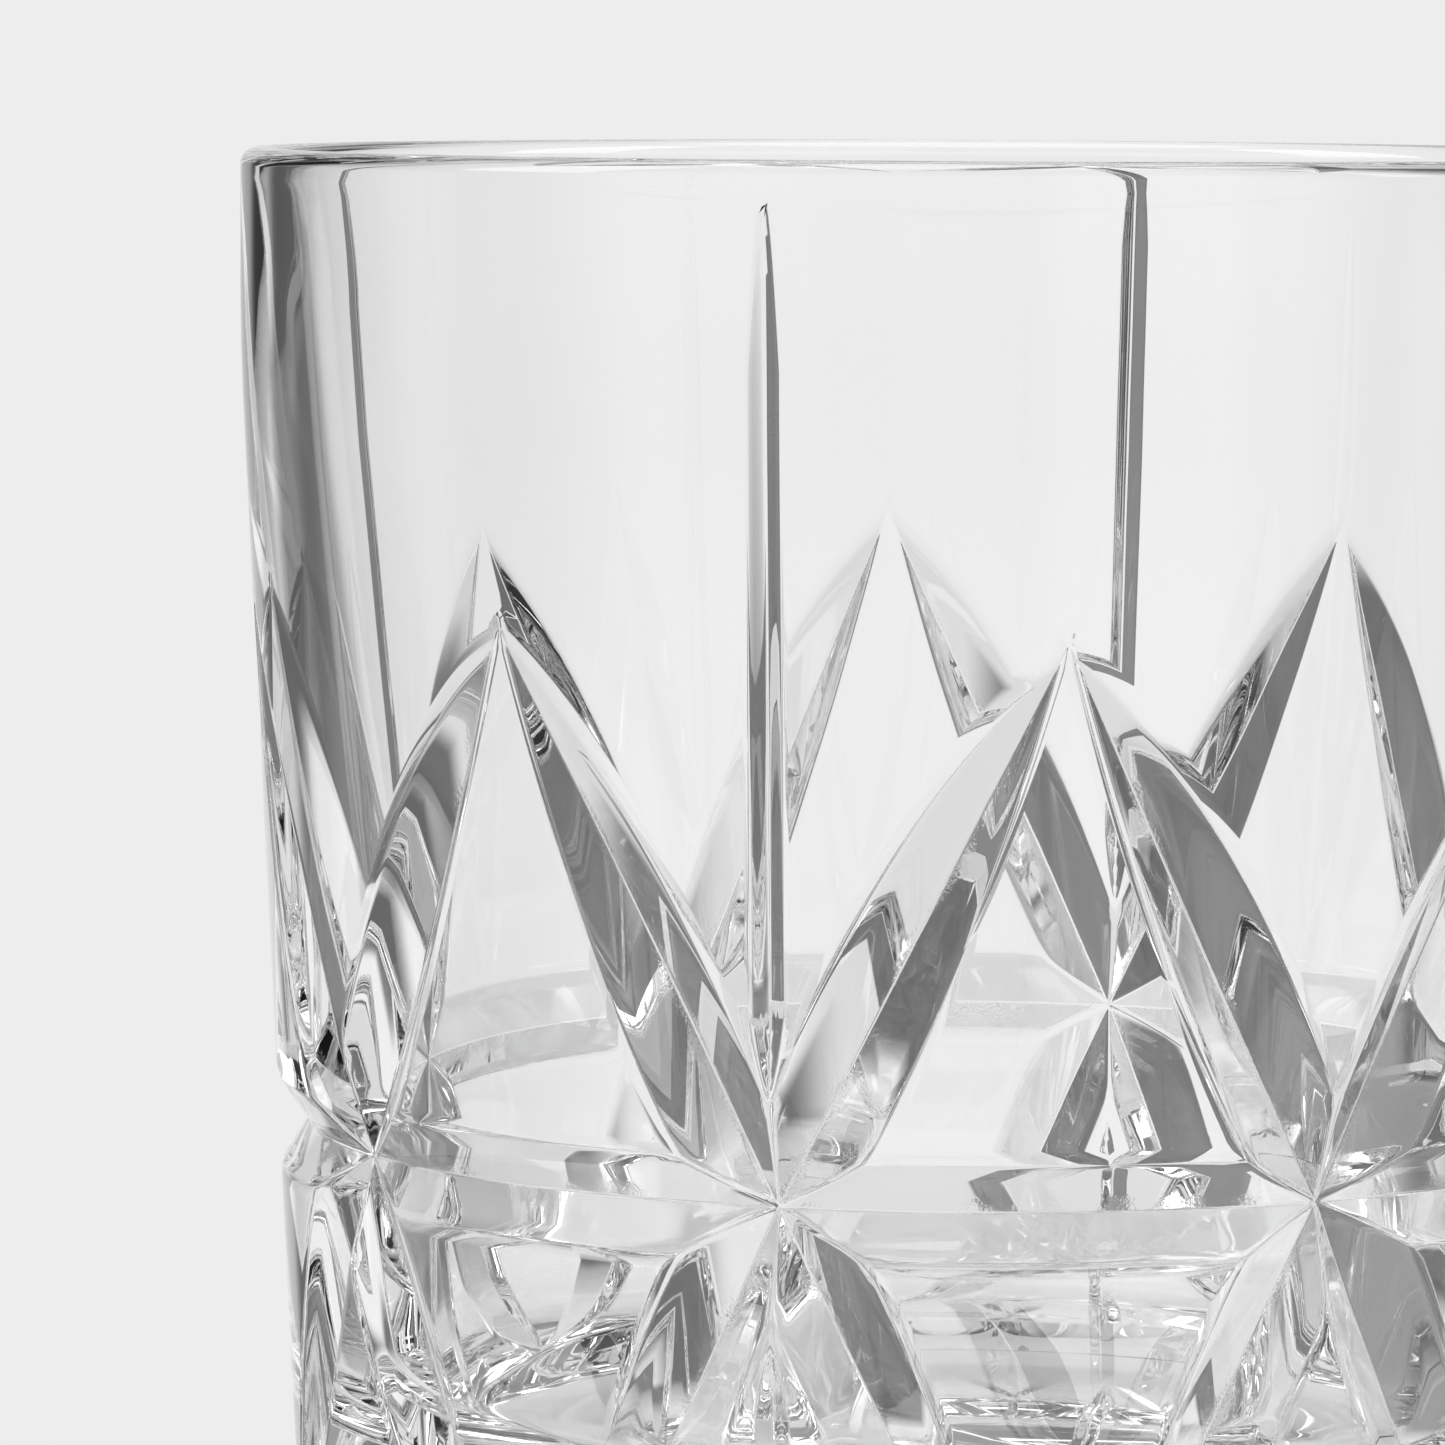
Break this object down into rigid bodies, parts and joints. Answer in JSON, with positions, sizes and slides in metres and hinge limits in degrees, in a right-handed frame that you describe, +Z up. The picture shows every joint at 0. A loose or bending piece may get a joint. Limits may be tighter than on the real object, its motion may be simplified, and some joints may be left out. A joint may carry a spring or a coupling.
{
  "type": "whiskey tumbler",
  "caption": "Straight-sided clear glass whiskey tumbler with a star-cut waist, thin upright flutes and a thick heavy base.",
  "frame": {"origin": "centre of the resting face, on the axis of the glass, level with the table", "axes": "+Z up along the axis to the rim; -Y through a star that carries a flute; +X to the right seen from -Y"},
  "size_m": [0.082, 0.082, 0.102],
  "materials": {
    "clear_glass": "clear, fire-polished, with a faint grain along the bottoms of the cuts"
  },
  "bodies": {
    "root": {"glass_body": "clear_glass"}
  },
  "joints": []
}
